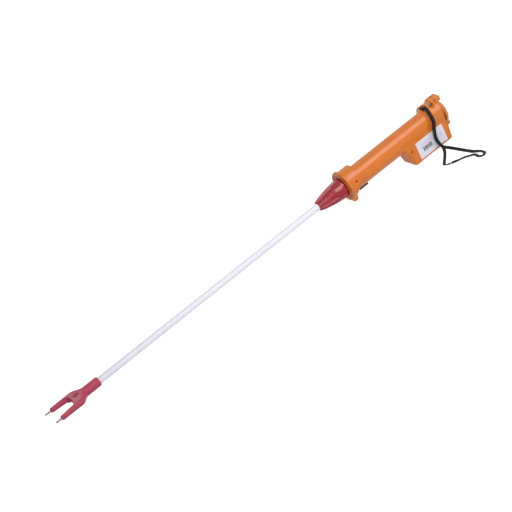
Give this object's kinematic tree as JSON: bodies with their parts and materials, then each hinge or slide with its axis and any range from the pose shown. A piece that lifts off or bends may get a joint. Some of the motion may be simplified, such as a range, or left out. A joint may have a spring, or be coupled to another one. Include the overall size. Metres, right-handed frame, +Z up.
{
  "type": "livestock prod",
  "caption": "Hand-held livestock prod: hollow shaft with a two-pronged head, clamped by a nose nut in a two-shell grip with trigger, battery housing and wrist strap.",
  "frame": {"origin": "bottom centre of the prod's bounding box without its strap, on the ground plane under the middle of its length", "axes": "+X along the shaft from the prongs to the end cap, +Z up from the battery housing's bottom to the top of the grip, +Y to the right when looking from above with the prongs to the left"},
  "size_m": [0.8374, 0.1516, 0.0773],
  "materials": {
    "orange_shell": "satin, fine moulded grain",
    "crimson_fork": "satin",
    "crimson_nut": "glossy",
    "white_rod": "smooth, slightly glossy",
    "black_plastic": "matt",
    "black_rubber": "matt",
    "electrode_metal": "worn",
    "screw_steel": "zinc plated",
    "spring_steel": "drawn wire",
    "contact_brass": "plain",
    "red_wire": "smooth insulation",
    "potting": "cast resin",
    "board_green": "lacquered",
    "capacitor_blue": "sleeved",
    "coil_copper": "enamelled wire",
    "cell_jacket": "plain sleeve",
    "strap_webbing": "flat woven"
  },
  "bodies": {
    "handle": {"collet": "black_plastic", "shaft_socket": "black_plastic", "socket_contacts": "contact_brass", "hv_leads": "red_wire", "shell_left": "orange_shell", "shell_right": "orange_shell", "shell_screws": "screw_steel", "end_cap": "orange_shell", "cap_screws": "screw_steel", "trigger_spring": "spring_steel", "switch_body": "black_plastic", "hv_module": "potting", "circuit_board": "board_green", "storage_capacitor": "capacitor_blue", "choke_coil": "coil_copper", "battery_leads": "red_wire", "cell_1": "cell_jacket", "cell_2": "cell_jacket", "cell_3": "cell_jacket", "cell_4": "cell_jacket", "battery_tray": "black_plastic", "battery_contacts": "spring_steel", "door_hinge_pin": "screw_steel", "strap_pin": "screw_steel", "wrist_strap": "strap_webbing"},
    "trigger": {"trigger_button": "black_plastic"},
    "lever": {"switch_lever": "spring_steel"},
    "plunger": {"switch_plunger": "white_rod"},
    "nut_seal": {"nose_seal": "black_rubber"},
    "nut": {"nose_nut": "crimson_nut"},
    "shaft": {"shaft_tube": "white_rod", "shaft_wires": "red_wire", "shaft_plug": "black_plastic", "plug_contacts": "contact_brass", "fork_head": "crimson_fork", "electrode_left": "electrode_metal", "electrode_right": "electrode_metal", "fork_screw": "screw_steel", "fork_wires": "red_wire"},
    "door": {"battery_door": "orange_shell"}
  },
  "joints": [
    {"name": "trigger_slide", "type": "slide", "parent": "handle", "child": "trigger", "axis": [0, 0, 1], "range_m": [0, 0.003], "stiffness_N_per_m": 800, "springref_m": -0.002, "deforming": ["trigger_spring"]},
    {"name": "lever_turn", "type": "hinge", "parent": "handle", "child": "lever", "pos_m": [0.24275, 0, 0.03675], "axis": [0, 1, 0], "range_deg": [0, 10.4]},
    {"name": "plunger_slide", "type": "slide", "parent": "handle", "child": "plunger", "axis": [0, 0, 1], "range_m": [0, 0.0016]},
    {"name": "nut_turn", "type": "hinge", "parent": "nut_seal", "child": "nut", "pos_m": [0.16475, 0, 0.0463], "axis": [1, 0, 0], "range_deg": [0, 720]},
    {"name": "nut_advance", "type": "slide", "parent": "handle", "child": "nut_seal", "axis": [-1, 0, 0], "range_m": [0, 0.003]},
    {"name": "shaft_slide", "type": "slide", "parent": "handle", "child": "shaft", "axis": [-1, 0, 0], "range_m": [0, 0.066]},
    {"name": "door_hinge", "type": "hinge", "parent": "handle", "child": "door", "pos_m": [0.33005, 0, 0.0023], "axis": [0, 1, 0], "range_deg": [0, 90]}
  ],
  "couplings": [
    {"joint": "lever_turn", "follows": "trigger_slide", "rad_per_m": 60},
    {"joint": "plunger_slide", "follows": "trigger_slide", "ratio": 0.5},
    {"joint": "nut_advance", "follows": "nut_turn", "m_per_rad": 0.00023873}
  ]
}
